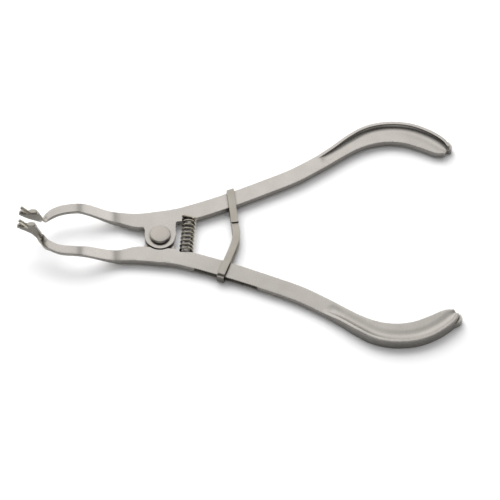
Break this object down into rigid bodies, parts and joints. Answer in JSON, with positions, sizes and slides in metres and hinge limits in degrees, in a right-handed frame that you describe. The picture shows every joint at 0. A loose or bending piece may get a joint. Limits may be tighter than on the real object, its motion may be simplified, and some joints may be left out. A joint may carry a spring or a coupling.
{
  "type": "rubber dam clamp forceps",
  "caption": "Spring-loaded steel forceps with non-crossing arms, upturned beaks with clamp pins, flanged grips and a sliding locking ring; squeezing the handles spreads the beaks.",
  "frame": {"origin": "on the rivet's axis, in the plane of the rivet's peened end face, which is the plane the closed instrument lies on", "axes": "+X from the joint towards the handle ends, with the beaks at -X; +Y towards the upper arm, which carries the front half of the lap joint; +Z out of the arms' plane, the way the beaks turn up"},
  "size_m": [0.1686, 0.1002, 0.022],
  "materials": {
    "arm_steel": "satin forged stainless steel, fine bead-blast grain",
    "rivet_steel": "satin, turned face",
    "spring_steel": "drawn wire, slightly polished",
    "ring_steel": "satin strip",
    "pin_steel": "ground, slightly worn"
  },
  "bodies": {
    "lower_handle": {"lower_arm": "arm_steel", "pivot_rivet": "rivet_steel", "rivet_burr": "rivet_steel", "return_spring": "spring_steel", "lower_clamp_pin": "pin_steel"},
    "upper_handle": {"upper_arm": "arm_steel", "upper_clamp_pin": "pin_steel"},
    "ring": {"locking_ring": "ring_steel"}
  },
  "joints": [
    {"name": "arm_pivot", "type": "hinge", "parent": "lower_handle", "child": "upper_handle", "pos_m": [0, 0, 0.0028], "axis": [0, 0, -1], "range_deg": [0, 14], "stiffness_Nm_per_rad": 0.8, "springref_deg": -2.86, "deforming": ["return_spring"]},
    {"name": "ring_slide", "type": "slide", "parent": "lower_handle", "child": "ring", "axis": [0.9307, -0.3659, 0], "range_m": [0, 0.0119]}
  ],
  "couplings": [
    {"joint": "ring_slide", "follows": "arm_pivot", "m_per_rad": 0.0487}
  ]
}
